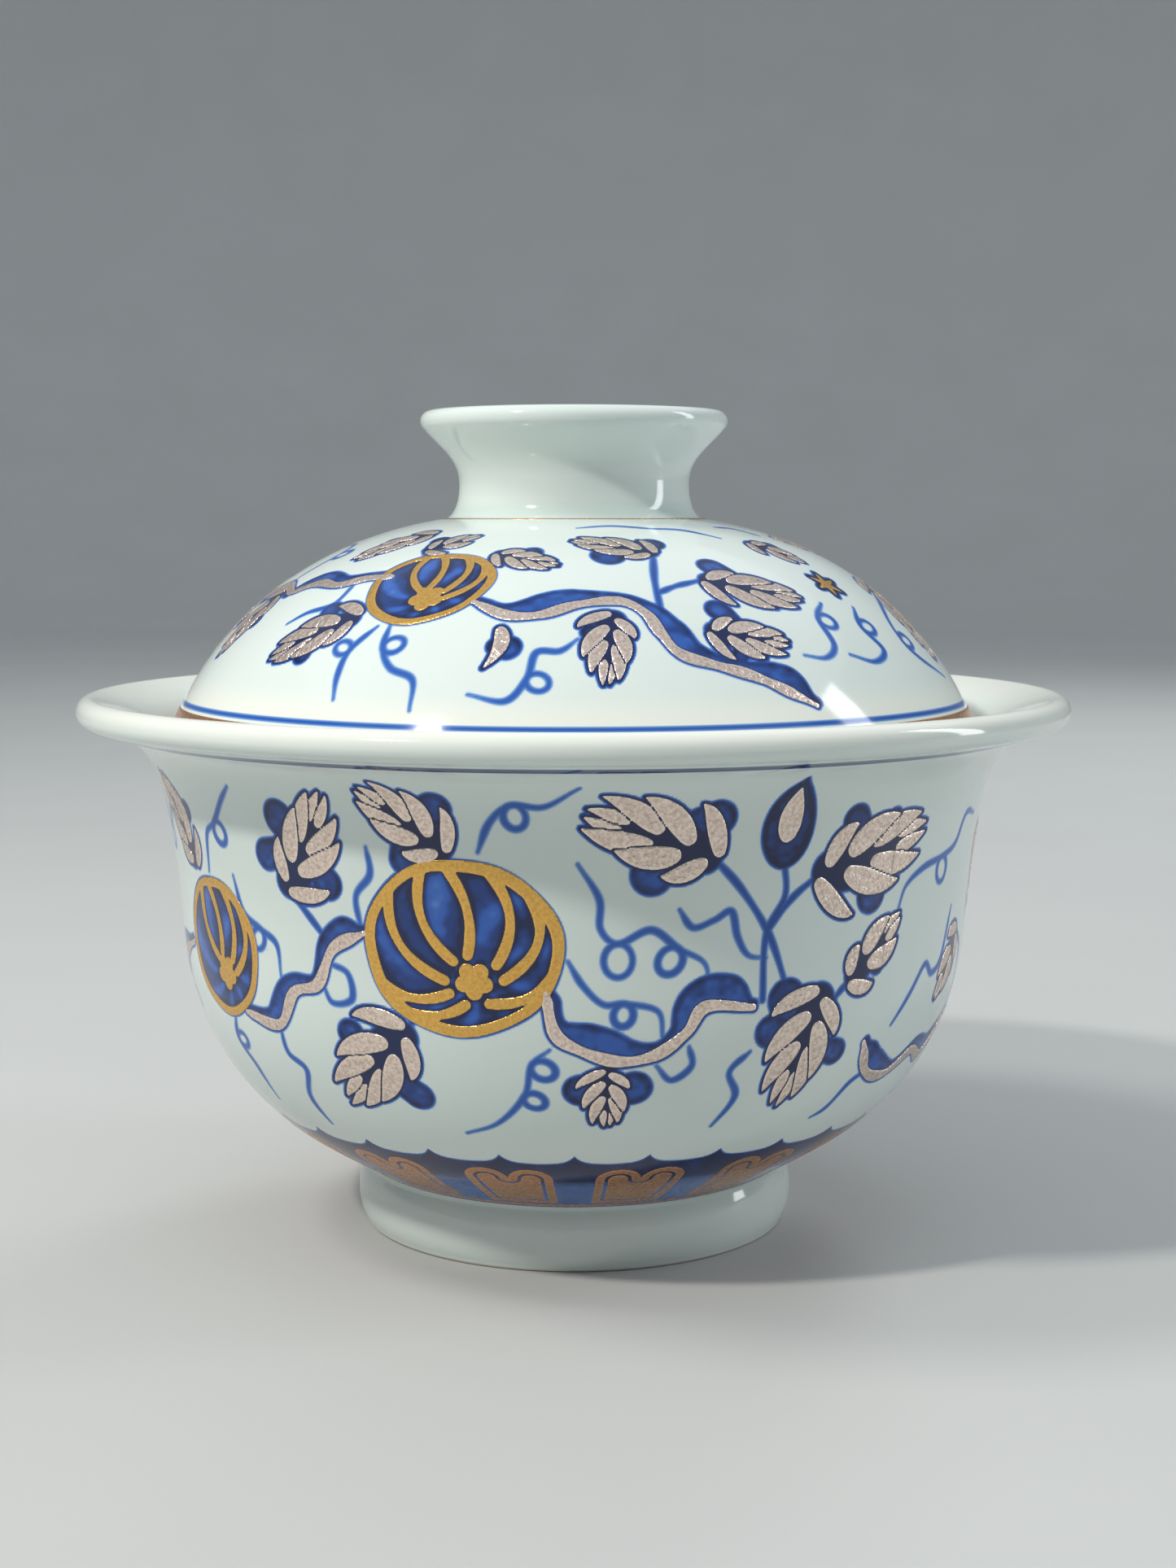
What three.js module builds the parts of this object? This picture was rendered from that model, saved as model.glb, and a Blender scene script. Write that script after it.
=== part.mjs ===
// A gaiwan: a footed porcelain tea bowl with a flared lip, and the domed lid that sits inside the flare.
// Millimetres, +Z up. The origin is the centre of the foot ring, on the surface that the bowl stands on.
import * as THREE from "three";

// Driving dimensions of the bowl.
const RIM_RADIUS = 51.5; // the widest circle, on the rolled lip
const LIP_ROUND = 1.45; // the lip is fully rounded, with this radius
const LIP_HEIGHT = 54.65; // centre of that rounding
const WAIST_RADIUS = 41; // the wall's outside, where the belly turns upright
const WAIST_HEIGHT = 31.8;
const WALL = 2.3; // thickness of the wall at the waist
const FLOOR_HEIGHT = 8.6; // top of the floor inside the bowl
const FOOT_RADIUS = 22.5; // outside of the foot ring where it meets the belly
const FOOT_HEIGHT = 6.7;
const FOOT_CONTACT_OUTER = 22; // the unglazed flat that touches the table
const FOOT_CONTACT_INNER = 19.9;
const FOOT_RECESS_RADIUS = 19.2; // the hollow inside the foot ring
const FOOT_RECESS_HEIGHT = 5;
const FOOT_EASE = 0.5; // the softened edges beside the flat

// Driving dimensions of the lid, in its seated place.
const LID_RADIUS = 42.35; // outside of the lid's edge, which is fully rounded
const LID_EDGE_ROUND = 1.1;
const LID_EDGE_HEIGHT = 52.05; // centre of that rounding
const LID_CROWN_HEIGHT = 71.8; // underside of the dome on the axis
const KNOB_BASE_RADIUS = 13.3; // where the ring-shaped knob grows out of the dome
const KNOB_BASE_HEIGHT = 74.1;
const KNOB_NECK_RADIUS = 12; // the knob's narrowest circle
const KNOB_NECK_HEIGHT = 77.6;
const KNOB_RADIUS = 16; // the knob's widest circle, on its flared lip
const KNOB_LIP_HEIGHT = 84.1;
const KNOB_LIP_ROUND = 1.1;
const KNOB_RECESS_RADIUS = 9.4; // the hollow inside the knob, above its rounded floor
const KNOB_RECESS_HEIGHT = 75.6;
const CORNER = 1; // the rounded corners at the floors of both recesses

const FACETS = 64; // round the axis
const CURVE_STEPS = 8; // along each curved stretch of an outline

// Adds a curved stretch from the outline's last point to `end`. `leave` and `arrive` are its handles, as
// steps in (radius, height) away from the stretch's first and last points.
function curveTo(path, leave, arrive, end) {
  const start = path.currentPoint;
  path.bezierCurveTo(start.x + leave[0], start.y + leave[1], end[0] + arrive[0], end[1] + arrive[1], ...end);
}

// A solid of revolution about Z, from an outline of (radius, height) that starts and ends on the axis.
function turned(outline) {
  const geometry = new THREE.LatheGeometry(outline.getPoints(CURVE_STEPS), FACETS);
  geometry.rotateX(Math.PI / 2);
  return geometry;
}

// From the axis under the floor, round the foot ring, up the outside, over the lip and down the inside.
function bowlOutline() {
  const path = new THREE.Path();
  path.moveTo(0, FOOT_RECESS_HEIGHT);
  path.lineTo(FOOT_RECESS_RADIUS - CORNER, FOOT_RECESS_HEIGHT);
  path.lineTo(FOOT_RECESS_RADIUS, FOOT_RECESS_HEIGHT - CORNER);
  path.lineTo(FOOT_CONTACT_INNER - FOOT_EASE, FOOT_EASE);
  path.lineTo(FOOT_CONTACT_INNER, 0);
  path.lineTo(FOOT_CONTACT_OUTER, 0);
  path.lineTo(FOOT_CONTACT_OUTER + FOOT_EASE, FOOT_EASE);
  // The foot ring swells a little between its ends.
  curveTo(path, [0.8, 1.5], [0.8, -2.3], [FOOT_RADIUS, FOOT_HEIGHT]);
  // The round belly, then the upright wall that bends out into the flare.
  curveTo(path, [4.5, 3.3], [-1.55, -17.8], [WAIST_RADIUS, WAIST_HEIGHT]);
  const lipCentre = RIM_RADIUS - LIP_ROUND;
  curveTo(path, [1.6, 18.9], [-6.15, -1.6], [lipCentre, LIP_HEIGHT - LIP_ROUND]);
  path.absarc(lipCentre, LIP_HEIGHT, LIP_ROUND, -Math.PI / 2, Math.PI / 2, false);
  // The inside follows at a wall's thickness, and the floor is flat at the axis.
  curveTo(path, [-8.05, -2.1], [1.7, 19.2], [WAIST_RADIUS - WALL, WAIST_HEIGHT]);
  curveTo(path, [-1.3, -15.3], [24.7, 0], [0, FLOOR_HEIGHT]);
  return path;
}

// From the axis under the dome, out to the edge, up the outside, round the knob and into its hollow.
function lidOutline() {
  const path = new THREE.Path();
  const edgeCentre = LID_RADIUS - LID_EDGE_ROUND;
  path.moveTo(0, LID_CROWN_HEIGHT);
  curveTo(path, [22, 0], [-5.5, 11.95], [edgeCentre - LID_EDGE_ROUND, LID_EDGE_HEIGHT]);
  path.absarc(edgeCentre, LID_EDGE_HEIGHT, LID_EDGE_ROUND, -Math.PI, 0, false);
  curveTo(path, [-5.05, 11.95], [14, -2.1], [KNOB_BASE_RADIUS, KNOB_BASE_HEIGHT]);
  curveTo(path, [-0.8, 0.5], [0, -1.8], [KNOB_NECK_RADIUS, KNOB_NECK_HEIGHT]);
  curveTo(path, [0, 2.8], [-1.9, -1.5], [KNOB_RADIUS - 0.5, KNOB_LIP_HEIGHT - 1]);
  path.absarc(KNOB_RADIUS - KNOB_LIP_ROUND, KNOB_LIP_HEIGHT, KNOB_LIP_ROUND, 0, Math.PI * 0.8, false);
  curveTo(path, [-2.8, -3.35], [0.2, 2.4], [KNOB_RECESS_RADIUS, KNOB_RECESS_HEIGHT + CORNER]);
  path.lineTo(KNOB_RECESS_RADIUS - CORNER, KNOB_RECESS_HEIGHT);
  path.lineTo(0, KNOB_RECESS_HEIGHT);
  return path;
}

const glaze = new THREE.MeshStandardMaterial({ color: 0xdfe9e8, roughness: 0.12, metalness: 0 });

const bowl = new THREE.Mesh(turned(bowlOutline()), glaze);
bowl.name = "bowl";

const lid = new THREE.Mesh(turned(lidOutline()), glaze);
lid.name = "lid";

const gaiwan = new THREE.Group();
gaiwan.add(bowl, lid);

export default gaiwan;
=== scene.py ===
"""A porcelain gaiwan, a lidded tea bowl painted in cobalt, gold and silver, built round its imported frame.

The bowl and the lid are turned again at a finer step. The painting lies on them as thin shells, each grown
from brush strokes that are worked out on a grid of (azimuth, distance up the surface). Lengths in the
outlines and in the painting are millimetres, azimuths are degrees from the front, positive to the right.
"""

import math

import bpy
import numpy as np
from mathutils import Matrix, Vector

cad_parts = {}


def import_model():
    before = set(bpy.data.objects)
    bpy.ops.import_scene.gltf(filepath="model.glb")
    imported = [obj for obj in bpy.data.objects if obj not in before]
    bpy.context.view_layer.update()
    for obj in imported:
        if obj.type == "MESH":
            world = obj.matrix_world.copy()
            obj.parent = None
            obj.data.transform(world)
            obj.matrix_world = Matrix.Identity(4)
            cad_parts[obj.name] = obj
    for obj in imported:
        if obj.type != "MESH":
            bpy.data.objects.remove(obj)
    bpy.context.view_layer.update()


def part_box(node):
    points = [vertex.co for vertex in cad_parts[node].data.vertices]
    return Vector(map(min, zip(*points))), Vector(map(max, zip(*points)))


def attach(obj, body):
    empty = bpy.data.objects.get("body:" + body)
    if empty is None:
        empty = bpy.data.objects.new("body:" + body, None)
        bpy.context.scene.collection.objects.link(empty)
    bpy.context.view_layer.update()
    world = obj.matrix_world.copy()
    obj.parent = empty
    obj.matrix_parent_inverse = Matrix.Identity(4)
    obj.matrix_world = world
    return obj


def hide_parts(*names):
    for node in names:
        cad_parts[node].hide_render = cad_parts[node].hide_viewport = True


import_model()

MM = 0.001
TURN = 2 * math.pi
CELL = 0.2  # step of the painting's grid
REACH = 2.0  # how far outside a stroke its depth is worked out
SAMPLE = 0.12  # step along a brush stroke
random = np.random.default_rng(7)


# ---------------------------------------------------------------- outlines

BOWL_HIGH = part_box("bowl")[1] / MM
LID_LOW, LID_HIGH = (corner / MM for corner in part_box("lid"))

# Places on an outline are (radius, height).
LIP_ROUND = 1.45
LIP_CENTRE = np.array([BOWL_HIGH.x - LIP_ROUND, BOWL_HIGH.z - LIP_ROUND])
WAIST = np.array([41.0, 31.8])  # where the belly turns upright
WALL = 2.3  # thickness at the waist
FOOT_JOINT = np.array([22.5, 6.7])  # where the foot ring meets the belly
FOOT_RECESS = 5.0  # depth of the hollow under the bowl
FLOOR_TOP = 8.6  # inside of the bowl, on the axis
EDGE_ROUND = 1.1
EDGE_CENTRE = np.array([LID_HIGH.x - EDGE_ROUND, LID_LOW.z + EDGE_ROUND])
KNOB_BASE = np.array([13.3, 74.1])
KNOB_NECK = np.array([12.0, 77.6])
KNOB_LIP_CENTRE = np.array([14.9, LID_HIGH.z - EDGE_ROUND])
KNOB_LIP_START, KNOB_LIP_END = -35, 150  # degrees round that centre
KNOB_FLOOR = 75.6
CROWN_UNDERSIDE = 71.8
COLUMNS = 256  # of a turned piece, round its axis


def line(start, end, step=0.6):
    """Points of a straight stretch, without its last one."""
    start, end = np.array(start, float), np.array(end, float)
    count = max(2, round(np.linalg.norm(end - start) / step))
    share = np.arange(count)[:, None] / count
    return start + (end - start) * share


def curve(start, leave, arrive, end, step=0.5):
    """Points of a curved stretch, without its last one. Its handles are steps away from its two ends."""
    start, end = np.array(start, float), np.array(end, float)
    first, second = start + leave, end + np.array(arrive)
    length = np.linalg.norm(first - start) + np.linalg.norm(second - first) + np.linalg.norm(end - second)
    t = np.arange(round(length / step))[:, None] / round(length / step)
    return (1 - t) ** 3 * start + 3 * (1 - t) ** 2 * t * first + 3 * (1 - t) * t * t * second + t**3 * end


def arc(centre, radius, first, last, step=0.2):
    """Points round a circle between two angles in degrees, without the last one."""
    count = max(4, round(abs(math.radians(last - first)) * radius / step))
    angle = np.radians(first + (last - first) * np.arange(count) / count)
    return np.array(centre) + radius * np.column_stack([np.cos(angle), np.sin(angle)])


def bowl_wall():
    """The painted outside of the bowl, from the foot's joint up to the underside of the lip."""
    below_lip = LIP_CENTRE - (0, LIP_ROUND)
    return np.vstack([
        curve(FOOT_JOINT, (4.5, 3.3), (-1.55, -17.8), WAIST),
        curve(WAIST, (1.6, 18.9), (-6.15, -1.6), below_lip),
    ])


def lid_dome():
    """The painted outside of the lid, from its widest circle up to the knob's neck."""
    edge = EDGE_CENTRE + (EDGE_ROUND, 0)
    return np.vstack([
        curve(edge, (-5.05, 11.95), (14, -2.1), KNOB_BASE),
        curve(KNOB_BASE, (-0.8, 0.5), (0, -1.8), KNOB_NECK, 0.25),
    ])


def bowl_outline():
    """From the axis under the floor, round the foot, up the wall, over the lip and down the inside."""
    foot_recess = (
        line((0, FOOT_RECESS), (17.6, FOOT_RECESS), 1.2),
        arc((17.6, 3.4), 1.6, 90, 0),
        line((19.2, 3.4), (19.35, 0.6), 0.3),
        arc((19.9, 0.55), 0.55, 180, 270, 0.1),
        line((19.9, 0), (21.9, 0), 0.3),
        arc((21.9, 0.6), 0.6, -90, -10, 0.1),
    )
    inner_waist = WAIST - (WALL, 0)
    return np.vstack([
        *foot_recess,
        curve((22.49, 0.5), (0.85, 1.5), (0.8, -2.2), FOOT_JOINT - (0, 0.2), 0.3),
        bowl_wall(),
        arc(LIP_CENTRE, LIP_ROUND, -90, 90),
        curve(LIP_CENTRE + (0, LIP_ROUND), (-8.05, -2.1), (1.7, 19.2), inner_waist),
        curve(inner_waist, (-1.3, -15.3), (24.7, 0), (0, FLOOR_TOP), 0.8),
        [(0, FLOOR_TOP)],
    ])


def lid_outline():
    """From the axis under the dome, round the edge, up the dome, round the knob and into its hollow."""
    knob_lip_start, knob_lip_end = (
        KNOB_LIP_CENTRE + EDGE_ROUND * np.array([math.cos(angle), math.sin(angle)])
        for angle in (math.radians(KNOB_LIP_START), math.radians(KNOB_LIP_END))
    )
    return np.vstack([
        curve((0, CROWN_UNDERSIDE), (22, 0), (-5.5, 11.95), EDGE_CENTRE - (EDGE_ROUND, 0), 0.8),
        arc(EDGE_CENTRE, EDGE_ROUND, 180, 360, 0.15),
        lid_dome(),
        curve(KNOB_NECK, (0, 2.8), (-1.5, -1.9), knob_lip_start, 0.25),
        arc(KNOB_LIP_CENTRE, EDGE_ROUND, KNOB_LIP_START, KNOB_LIP_END, 0.15),
        curve(knob_lip_end, (-1.6, -2.8), (0.1, 2.4), (9.5, 78.0), 0.35),
        arc((7.5, 77.6), 2.0, 0, -90, 0.3),
        line((7.5, KNOB_FLOOR), (0, KNOB_FLOOR), 0.8),
        [(0, KNOB_FLOOR)],
    ])


def turned(name, outline):
    """A closed solid of revolution, from an outline that starts and ends on the axis."""
    ring = outline[1:-1]
    angle = np.arange(COLUMNS) * TURN / COLUMNS
    points = [(0, 0, outline[0][1]), (0, 0, outline[-1][1])]
    grid = np.empty((len(ring), COLUMNS, 3))
    grid[..., 0] = ring[:, :1] * np.sin(angle)
    grid[..., 1] = -ring[:, :1] * np.cos(angle)
    grid[..., 2] = ring[:, 1:]
    vertices = np.vstack([points, grid.reshape(-1, 3)]) * MM
    here = np.arange(COLUMNS)
    after = (here + 1) % COLUMNS
    faces = [(0, 2 + b, 2 + a) for a, b in zip(here, after)]
    for row in range(len(ring) - 1):
        low, high = 2 + row * COLUMNS, 2 + (row + 1) * COLUMNS
        faces += np.column_stack([low + here, low + after, high + after, high + here]).tolist()
    last = 2 + (len(ring) - 1) * COLUMNS
    faces += [(1, last + a, last + b) for a, b in zip(here, after)]
    return solid(name, vertices, faces)


def solid(name, vertices, faces):
    """A smooth-shaded object of these vertices, in metres, and faces."""
    mesh = bpy.data.meshes.new(name)
    mesh.from_pydata(vertices.tolist(), [], faces)
    mesh.shade_smooth()
    made = bpy.data.objects.new(name, mesh)
    bpy.context.scene.collection.objects.link(made)
    return made


# ---------------------------------------------------------------- the painting's grid


def smooth(x):
    x = np.clip(x, 0, 1)
    return x * x * (3 - 2 * x)


class Surface:
    """The outside of a turned piece, as rows up the outline and columns round the axis."""

    def __init__(self, outline):
        step = np.linalg.norm(np.diff(outline, axis=0), axis=1)
        distance = np.concatenate([[0], np.cumsum(step)])
        self.up = np.arange(0, distance[-1], CELL)
        self.radius = np.interp(self.up, distance, outline[:, 0])
        self.height = np.interp(self.up, distance, outline[:, 1])
        along = np.gradient(self.radius), np.gradient(self.height)
        size = np.hypot(*along)
        self.out_radius, self.out_height = along[1] / size, -along[0] / size
        self.columns = round(TURN * self.radius.max() / CELL)
        self.turn = TURN / self.columns

    def flat(self, azimuth, up, middle):
        """A place in millimetres on the surface unrolled round `middle`: right + 1j * up."""
        return (np.radians(azimuth) - middle) * np.interp(up, self.up, self.radius) + 1j * np.asarray(up)

    def unflat(self, place, middle):
        """The azimuth in radians and the distance up of a place on the unrolled surface."""
        return middle + place.real / np.interp(place.imag, self.up, self.radius), place.imag

    def point(self, row, azimuth, lift):
        """Places in metres, and the way out of the surface there."""
        rows = np.arange(len(self.up))
        known = self.radius, self.height, self.out_radius, self.out_height
        radius, height, out_radius, out_height = (np.interp(row, rows, values) for values in known)
        around = np.column_stack([np.sin(azimuth), -np.cos(azimuth)])
        out = np.column_stack([around * out_radius[:, None], out_height])
        place = np.column_stack([around * radius[:, None], height]) + out * np.asarray(lift)[..., None]
        return place * MM, out

    def noise(self, size):
        """Soft random values from 0 to 1 on the grid, with lumps of about `size`."""
        lumps = max(3, round(TURN * self.radius.mean() / size))
        bands = math.ceil(self.up[-1] / size) + 2
        values = random.random((bands, lumps))
        row, row_share = np.divmod(self.up / size, 1)
        column, column_share = np.divmod(np.arange(self.columns) * lumps / self.columns, 1)
        row, column = row.astype(int), column.astype(int)
        row_share, column_share = smooth(row_share)[:, None], smooth(column_share)
        low, high = (
            values[r][:, column] * (1 - column_share) + values[r][:, (column + 1) % lumps] * column_share
            for r in (row, row + 1)
        )
        return low * (1 - row_share) + high * row_share


DARK = 0.97  # the strongest ink
STROKE_EDGE = 0.2  # how far inside its edge a stroke of cobalt is full
POOL_DEPTH, POOL_WIDTH = 0.3, 0.35  # where a wash pools, inside its edge
WASH_BLEED, WASH_EDGE = 0.28, 0.2
MOTTLE = 0.34  # how much of a wash is mottle
OUTLINE, OUTLINE_FADE = 0.12, 0.34  # a leaf's dark line outside its lobes, and the fade beyond it


class Painting:
    """The painted layers on a surface: ink from 0 to 1, and for each metal the depth inside its shapes."""

    def __init__(self, surface):
        self.surface = surface
        shape = len(surface.up), surface.columns
        self.ink = np.zeros(shape)
        self.gold, self.silver, self.copper = (np.full(shape, -REACH) for _ in range(3))
        self.mottle = 0.5 * surface.noise(1.3) + 0.5 * surface.noise(0.6)

    def window(self, azimuth, up, reach):
        """The grid's rows and columns within `reach` of these places."""
        surface = self.surface
        low = min(max(int((up.min() - reach) / CELL), 0), len(surface.up) - 1)
        high = max(min(int((up.max() + reach) / CELL) + 2, len(surface.up)), low + 1)
        spread = reach / surface.radius[low:high].min()
        first = math.floor((azimuth.min() - spread) / surface.turn)
        last = math.ceil((azimuth.max() + spread) / surface.turn) + 1
        return np.arange(low, high), np.arange(first, last)

    def stroke(self, path, half_width, middle):
        """The window round a brush stroke, and how deep inside the stroke each of its grid points is."""
        surface = self.surface
        azimuth, up = surface.unflat(path, middle)
        half_width = np.broadcast_to(half_width, azimuth.shape)
        rows, columns = self.window(azimuth, up, REACH + half_width.max())
        depth = np.full((len(rows), len(columns)), -REACH)
        for i in range(0, len(path), 16):
            part = slice(i, i + 17)
            near_rows, near_columns = self.window(azimuth[part], up[part], REACH + half_width[part].max())
            across = near_columns[None, :, None] * surface.turn - azimuth[part]
            across = across * surface.radius[near_rows][:, None, None]
            along = surface.up[near_rows][:, None, None] - up[part]
            inside = (half_width[part] - np.hypot(across, along)).max(axis=2)
            block = np.ix_(near_rows - rows[0], near_columns - columns[0])
            depth[block] = np.maximum(depth[block], inside)
        return np.ix_(rows, columns % surface.columns), depth

    def shade(self, window, ink):
        self.ink[window] = np.maximum(self.ink[window], ink)

    def blue(self, path, half_width, middle, strength=0.95, bleed=0.34):
        """A stroke of cobalt whose edge bleeds into the glaze."""
        window, depth = self.stroke(path, half_width, middle)
        self.shade(window, strength * smooth((depth + bleed) / (bleed + STROKE_EDGE)))

    def wash(self, path, half_width, middle, strength=0.72, rim=0.2):
        """A thin mottled wash of cobalt, darker where it pools at its rim."""
        window, depth = self.stroke(path, half_width, middle)
        pool = rim * np.exp(-((depth - POOL_DEPTH) / POOL_WIDTH) ** 2)
        ink = strength + MOTTLE * (self.mottle[window] - 0.5) + pool
        self.shade(window, ink * smooth((depth + WASH_BLEED) / (WASH_BLEED + WASH_EDGE)))

    def lay(self, metal, path, half_width, middle):
        """A stroke of metal, joined to what is there."""
        layer = getattr(self, metal)
        window, depth = self.stroke(path, half_width, middle)
        layer[window] = np.maximum(layer[window], depth)

    def lobe(self, path, half_width, middle, moat=0.15):
        """One lobe of a leaf in silver. It covers what is there, with a dark line left all round it."""
        window, depth = self.stroke(path, half_width, middle)
        self.silver[window] = np.maximum(np.minimum(self.silver[window], -depth - moat), depth)
        self.shade(window, DARK * smooth((depth + OUTLINE + OUTLINE_FADE) / OUTLINE_FADE))


# ---------------------------------------------------------------- motifs


def bow(start, bend, end):
    """Points every SAMPLE along a line that bows towards `bend`."""
    length = abs(bend - start) + abs(end - bend)
    t = np.linspace(0, 1, max(9, round(length / SAMPLE)))
    return (1 - t) ** 2 * start + 2 * (1 - t) * t * bend + t * t * end


def through(places):
    """Stretches of a smooth line through these places, with points every SAMPLE."""
    before = np.concatenate([[2 * places[0] - places[1]], places[:-1]])
    after = np.concatenate([places[1:], [2 * places[-1] - places[-2]]])
    way = (after - before) / 2
    stretches = []
    for start, end, leave, arrive in zip(places, places[1:], way, way[1:]):
        t = np.linspace(0, 1, max(6, round(abs(end - start) * 1.1 / SAMPLE)))
        ease = t * t * (3 - 2 * t)
        stretches.append(start + (end - start) * ease + leave * t * (1 - t) ** 2 - arrive * t * t * (1 - t))
    return stretches


VINE_OUTLINE = 0.14  # a branch's dark line outside its silver


class Hand:
    """Paints motifs round one side of a piece. Its places count from the azimuth `side`, in degrees."""

    def __init__(self, painting, side):
        self.painting = painting
        self.surface = painting.surface
        self.side = side

    def places(self, *spots):
        """Spots of (azimuth, distance up) as places on the unrolled surface, and the middle of it."""
        azimuth, up = np.array([spot[:2] for spot in spots], float).T
        azimuth = azimuth + self.side
        middle = math.radians(azimuth.mean())
        return self.surface.flat(azimuth, up, middle), middle

    def taper(self, count, tip=0.35):
        """Brush widths along a line, from full to `tip` at both ends, with a little unsteadiness."""
        share = np.linspace(0, 1, count)
        ends = smooth(share / 0.12) * smooth((1 - share) / 0.25)
        wave = 1 + 0.16 * np.sin(share * random.uniform(9, 16) + random.uniform(0, 6))
        return (tip + (1 - tip) * ends) * wave

    def line(self, *spots, width=0.5, tip=0.35, strength=0.64):
        """A thin blue line through these spots. A spot's third number is the radius of a loop that the
        line makes there, on its left if positive."""
        places, middle = self.places(*spots)
        parts = []
        for spot, stretch in zip(spots, through(places)):
            if len(spot) > 2:
                way = (stretch[1] - stretch[0]) / abs(stretch[1] - stretch[0])
                angle = np.linspace(0, TURN, round(abs(spot[2]) * 6 / SAMPLE))
                round_it = abs(spot[2]) * np.sin(angle) + 1.2j * spot[2] * (1 - np.cos(angle))
                parts.append(stretch[0] + way * round_it)
            parts.append(stretch)
        path = np.concatenate(parts)
        self.painting.blue(path, width / 2 * self.taper(len(path), tip), middle, strength)

    def stem(self, *spots):
        """A plain stem."""
        self.line(*spots, width=0.52, tip=0.8, strength=0.74)

    def vine(self, *spots, width=1.15, wash=1.0, side=1):
        """A silver branch with a dark outline and a wash along one side: 1 is its left as it is drawn."""
        places, middle = self.places(*spots)
        path = np.concatenate(through(places))
        share = np.linspace(0, 1, len(path))
        run = share * len(path) * SAMPLE
        ends = smooth(share / 0.04) * smooth((1 - share) / 0.1)
        half = width / 2 * (1 + 0.14 * np.sin(run * 1.1 + random.uniform(0, 6))) * (0.55 + 0.45 * ends)
        direction = np.gradient(path)
        left = side * 1j * direction / abs(direction)
        band = wash * (0.75 + 0.55 * np.sin(run * 0.43 + random.uniform(0, 6))) * ends
        self.painting.wash(path + left * (0.35 + 0.5 * band), 0.5 + 0.6 * band, middle, strength=0.7)
        self.painting.blue(path, half + VINE_OUTLINE, middle, strength=DARK, bleed=0.26)
        self.painting.lay("silver", path, half, middle)

    def lobes(self, base, tip, shapes):
        """Leaf lobes, each (start, bend, end, half width) as shares of the way from base to tip. A lobe is
        round at its start and pointed at its end."""
        (base, tip), middle = self.places(base, tip)
        for start, bend, end, half in shapes:
            path = bow(*(base + (tip - base) * np.array([start, bend, end])))
            share = np.linspace(0, 1, len(path))
            swell = np.sin(math.pi * (0.1 + 0.9 * share) ** 0.68) ** 0.9
            self.painting.lobe(path, 0.07 + half * abs(tip - base) * swell, middle)

    def bulbs(self, base, tip, rounds):
        """Round blue leaves that show behind a silver one, each (place as a share of the leaf, radius)."""
        (base, tip), middle = self.places(base, tip)
        for place, radius in rounds:
            centre = base + (tip - base) * place
            heart = base + (tip - base) * 0.42
            path = bow(centre, (centre + heart) / 2, (centre + 2 * heart) / 3)
            self.painting.wash(path, radius * np.linspace(1, 0.8, len(path)), middle, strength=0.76)

    def leaf(self, base, tip, pairs=4, spread=1.0, plump=0.95, bulbs=()):
        """A feathered leaf: pairs of lobes that sweep forward from a bare rib, small at both its ends."""
        self.bulbs(base, tip, bulbs)
        (start, end), middle = self.places(base, tip)
        # The dark ground that shows between the lobes.
        rib = bow(start + 0.08 * (end - start), (start + end) / 2, start + 0.9 * (end - start))
        swell = np.sin(math.pi * (0.2 + 0.8 * np.linspace(0, 1, len(rib))) ** 0.9)
        self.painting.blue(rib, 0.2 + spread * 0.17 * abs(end - start) * swell, middle, strength=DARK)
        shapes = []
        for k in reversed(range(pairs)):
            t = k / (pairs - 1)
            belly = 4 * t * (1 - t)
            half = plump * (0.07 + 0.03 * belly - 0.022 * t) * 4 / (pairs + 0.4)
            for side in (1, -1):
                root = 0.04 + 0.64 * t + 0.04 * side * (1 - t) + random.uniform(-0.015, 0.015)
                reach = (0.24 + 0.17 * belly + 0.04 * t) * random.uniform(0.93, 1.07)
                out = side * spread * ((0.25 - 0.05 * side) * (1 - t) ** 0.8 + 0.03)
                start = root + side * 1j * (0.012 + 0.8 * half)
                end = min(root + reach, 1.0) + out * 1j
                shapes.append((start, start + 0.5 * reach + side * 0.75j * (abs(out) - 0.02), end, half))
        self.lobes(base, tip, shapes)

    def bud(self, base, tip):
        """A closed bud: a blue drop with a silver drop in it."""
        (start, end), middle = self.places(base, tip)
        path = bow(start, (start + end) / 2, end)
        share = np.linspace(0, 1, len(path))
        size = abs(end - start)
        belly = np.sin(math.pi * share**0.7) ** 1.1
        self.painting.wash(path, 0.12 + 0.3 * size * belly, middle, strength=0.9)
        inner = path[int(len(path) * 0.3) : int(len(path) * 0.86)]
        share = np.linspace(0, 1, len(inner))
        self.painting.lobe(inner, 0.1 + 0.13 * size * np.sin(math.pi * (0.1 + 0.9 * share) ** 0.68), middle)

    def melon(self, azimuth, up, width, height, lean=0.0, ribs=8):
        """A ribbed melon: blue washes inside a gold ring, with the first `ribs` of RIBS in gold, which run
        to a gold blossom. It leans by degrees."""
        (centre,), middle = self.places((azimuth, up))
        painting, surface = self.painting, self.surface
        fine = min(1.0, width / FULL_MELON)
        lean = np.exp(1j * math.radians(lean))

        def place(unit):
            return centre + lean * (unit.real * width + 1j * unit.imag * height) / 2

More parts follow.
